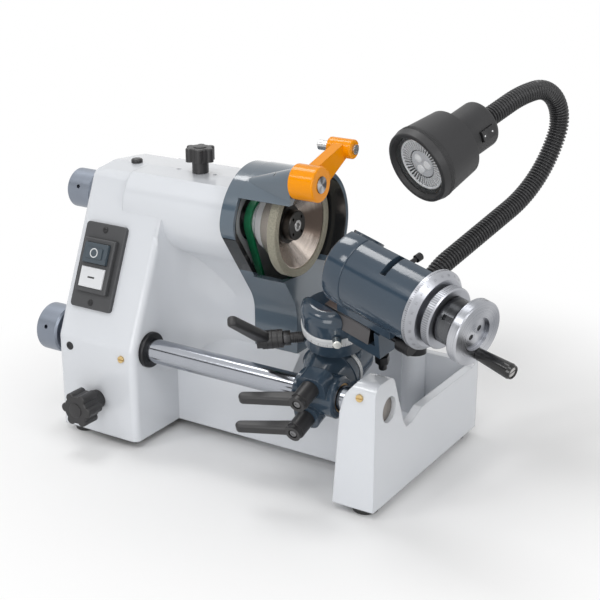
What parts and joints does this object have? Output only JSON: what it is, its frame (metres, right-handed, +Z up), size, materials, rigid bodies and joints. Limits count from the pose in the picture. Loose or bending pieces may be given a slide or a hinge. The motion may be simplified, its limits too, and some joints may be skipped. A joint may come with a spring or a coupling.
{
  "type": "graver grinder",
  "caption": "Bench grinder for engraving cutters: belt-driven cup wheel under a hood, tilting work head with collet and crank on a guide bar, wheel dresser and gooseneck lamp.",
  "frame": {"origin": "on the floor under the middle of the overall box", "axes": "+X along the guide bar from the feed knobs to the pillar, +Y to the back of the machine, +Z up"},
  "size_m": [0.5602, 0.4485, 0.3518],
  "materials": {
    "white_paint": "gloss enamel on cast iron",
    "blue_grey_paint": "gloss enamel",
    "orange_paint": "gloss enamel",
    "black_plastic": "moulded, fine grain",
    "dark_plastic": "moulded",
    "white_plastic": "moulded",
    "blackened_steel": "black oxide",
    "steel": "turned",
    "ground_steel": "ground and hard-chromed",
    "aluminium": "turned and knurled",
    "scale_white": "enamelled ring with dark marks",
    "brass": "slotted heads",
    "rubber": "moulded",
    "belt": "coated flat belt",
    "abrasive": "bonded grit",
    "bronze": "plain bush",
    "lens": "ribbed clear cover"
  },
  "bodies": {
    "frame": {"base_casting": "white_paint", "bottom_plate": "blackened_steel", "rubber_feet": "rubber", "bar_collar": "blackened_steel", "brass_screws": "brass", "oil_plug": "blackened_steel", "switch_plate": "black_plastic", "switch_body": "black_plastic", "wheel_guard": "blue_grey_paint", "motor": "aluminium", "drive_belt": "belt", "lamp_socket": "black_plastic"},
    "stop_button": {"stop_button": "dark_plastic"},
    "start_button": {"start_button": "white_plastic"},
    "quill_lock": {"quill_lock_knob": "black_plastic"},
    "belt_lock": {"belt_lock_knob": "black_plastic"},
    "quill_handwheel": {"quill_knob": "aluminium"},
    "quill": {"quill": "steel", "spindle_bearings": "steel"},
    "grinding_spindle": {"spindle": "steel", "spindle_pulley": "steel", "wheel_body": "steel", "abrasive_rim": "abrasive", "wheel_flange": "blackened_steel", "wheel_bolt": "steel"},
    "motor_rotor": {"motor_pulley": "steel"},
    "bar_handwheel": {"bar_knob": "aluminium"},
    "guide_bar": {"guide_bar": "ground_steel"},
    "bush": {"carriage_bush": "bronze"},
    "carriage": {"carriage": "blue_grey_paint"},
    "tilt_lever": {"tilt_clamp_lever": "black_plastic"},
    "bar_lever": {"bar_clamp_lever": "black_plastic"},
    "elbow": {"tilt_scale_ring": "scale_white", "tilt_elbow": "blue_grey_paint"},
    "swivel_lever": {"swivel_clamp_lever": "black_plastic"},
    "swivel": {"swivel_scale_ring": "scale_white", "slide_base": "blue_grey_paint", "stop_bolt": "blackened_steel", "swivel_index_screw": "ground_steel"},
    "feed_screw": {"feed_screw": "blackened_steel"},
    "work_head": {"head_slide": "blackened_steel", "head_body": "blue_grey_paint"},
    "spindle_clamp": {"spindle_clamp_screw": "blackened_steel"},
    "work_spindle": {"work_spindle": "blackened_steel", "collet": "steel", "index_ring": "aluminium", "lock_ring": "aluminium", "draw_nut": "blackened_steel", "handwheel": "aluminium", "handle_screw": "steel"},
    "crank_handle": {"crank_handle": "dark_plastic"},
    "dresser": {"dresser_shaft": "blackened_steel", "dresser_arm": "orange_paint", "diamond_holder": "steel"},
    "lamp_neck": {"gooseneck": "black_plastic"},
    "lamp_head": {"lamp_body": "black_plastic", "lamp_bezel": "black_plastic", "lamp_lens": "lens"},
    "lamp_rocker": {"lamp_rocker": "black_plastic"}
  },
  "joints": [
    {"name": "stop_press", "type": "slide", "parent": "frame", "child": "stop_button", "axis": [0, 0.9205, -0.3907], "range_m": [0, 0.003], "stiffness_N_per_m": 300, "springref_m": -0.002},
    {"name": "start_press", "type": "slide", "parent": "frame", "child": "start_button", "axis": [0, 0.9205, -0.3907], "range_m": [0, 0.003], "stiffness_N_per_m": 300, "springref_m": -0.002},
    {"name": "quill_lock_turn", "type": "hinge", "parent": "frame", "child": "quill_lock", "pos_m": [-0.1163, -0.08607, 0.2745], "axis": [0, 0, 1], "range_deg": [-90, 90]},
    {"name": "belt_lock_turn", "type": "hinge", "parent": "frame", "child": "belt_lock", "pos_m": [-0.1813, -0.18707, 0.0465], "axis": [0, -1, 0], "range_deg": [-90, 90]},
    {"name": "quill_feed_turn", "type": "hinge", "parent": "frame", "child": "quill_handwheel", "pos_m": [-0.1033, -0.08607, 0.2365], "axis": [1, 0, 0], "range_deg": [-361, 361]},
    {"name": "quill_slide", "type": "slide", "parent": "frame", "child": "quill", "axis": [1, 0, 0], "range_m": [-0.002, 0.002]},
    {"name": "wheel_spin", "type": "hinge", "parent": "quill", "child": "grinding_spindle", "pos_m": [-0.1033, -0.08607, 0.2365], "axis": [1, 0, 0], "continuous": true},
    {"name": "motor_spin", "type": "hinge", "parent": "frame", "child": "motor_rotor", "pos_m": [-0.1033, -0.02207, 0.12], "axis": [1, 0, 0], "continuous": true},
    {"name": "bar_feed_turn", "type": "hinge", "parent": "frame", "child": "bar_handwheel", "pos_m": [-0.2318, -0.16007, 0.103], "axis": [1, 0, 0], "range_deg": [-901, 901]},
    {"name": "bar_slide", "type": "slide", "parent": "frame", "child": "guide_bar", "axis": [1, 0, 0], "range_m": [-0.005, 0.005]},
    {"name": "carriage_slide", "type": "slide", "parent": "guide_bar", "child": "bush", "axis": [1, 0, 0], "range_m": [-0.03, 0.004]},
    {"name": "carriage_swing", "type": "hinge", "parent": "bush", "child": "carriage", "pos_m": [0.0657, -0.16007, 0.103], "axis": [-1, 0, 0], "range_deg": [-12, 14]},
    {"name": "tilt_lever_turn", "type": "hinge", "parent": "carriage", "child": "tilt_lever", "pos_m": [0.0747, -0.18337, 0.11646], "axis": [0, -0.9511, -0.309], "range_deg": [-60, 0]},
    {"name": "bar_lever_turn", "type": "hinge", "parent": "carriage", "child": "bar_lever", "pos_m": [0.0677, -0.17903, 0.0837], "axis": [0, -0.9511, -0.309], "range_deg": [0, 60]},
    {"name": "tilt_turn", "type": "hinge", "parent": "carriage", "child": "elbow", "pos_m": [0.0657, -0.11537, 0.11752], "axis": [0, 0.9511, 0.309], "range_deg": [-8, 15]},
    {"name": "swivel_lever_turn", "type": "hinge", "parent": "elbow", "child": "swivel_lever", "pos_m": [0.04237, -0.14208, 0.1473], "axis": [-0.8494, -0.5199, -0.0908], "range_deg": [-60, 0]},
    {"name": "swivel_turn", "type": "hinge", "parent": "elbow", "child": "swivel", "pos_m": [0.06993, -0.1303, 0.16348], "axis": [0.0872, -0.3078, 0.9474], "range_deg": [-8, 45]},
    {"name": "feed_turn", "type": "hinge", "parent": "swivel", "child": "feed_screw", "pos_m": [0.1485, -0.15613, 0.1716], "axis": [0.9576, -0.2363, -0.1649], "range_deg": [-2161, 361]},
    {"name": "head_slide", "type": "slide", "parent": "swivel", "child": "work_head", "axis": [0.9576, -0.2363, -0.1649], "range_m": [-0.024, 0.004]},
    {"name": "spindle_clamp_turn", "type": "hinge", "parent": "work_head", "child": "spindle_clamp", "pos_m": [0.16658, -0.16328, 0.25047], "axis": [0.2746, 0.9216, 0.2742], "range_deg": [-90, 90]},
    {"name": "work_turn", "type": "hinge", "parent": "work_head", "child": "work_spindle", "pos_m": [0.13427, -0.1688, 0.22843], "axis": [0.9576, -0.2363, -0.1649], "continuous": true},
    {"name": "handle_spin", "type": "hinge", "parent": "work_spindle", "child": "crank_handle", "pos_m": [0.24735, -0.19068, 0.18875], "axis": [0.9576, -0.2363, -0.1649], "continuous": true},
    {"name": "dresser_swing", "type": "hinge", "parent": "frame", "child": "dresser", "pos_m": [0.0167, -0.12107, 0.292], "axis": [1, 0, 0], "range_deg": [0, 235]},
    {"name": "lamp_swivel", "type": "hinge", "parent": "frame", "child": "lamp_neck", "pos_m": [0.0777, 0.02093, 0.083], "axis": [0, 0, 1], "range_deg": [-40, 40]},
    {"name": "lamp_bend", "type": "hinge", "parent": "lamp_neck", "child": "lamp_head", "pos_m": [0.14536, 0.20683, 0.32573], "axis": [0.9397, -0.342, 0], "range_deg": [-15, 15], "deforming": ["gooseneck"]},
    {"name": "lamp_switch", "type": "hinge", "parent": "lamp_head", "child": "lamp_rocker", "pos_m": [0.12224, 0.0771, 0.31227], "axis": [0.1878, 0.3121, -0.9313], "range_deg": [-8, 8]}
  ],
  "couplings": [
    {"joint": "quill_feed_turn", "follows": "quill_slide", "rad_per_m": 3141.6},
    {"joint": "bar_feed_turn", "follows": "bar_slide", "rad_per_m": 3141.6},
    {"joint": "feed_turn", "follows": "head_slide", "rad_per_m": 1570.8},
    {"joint": "motor_spin", "follows": "wheel_spin", "ratio": 0.55556}
  ]
}
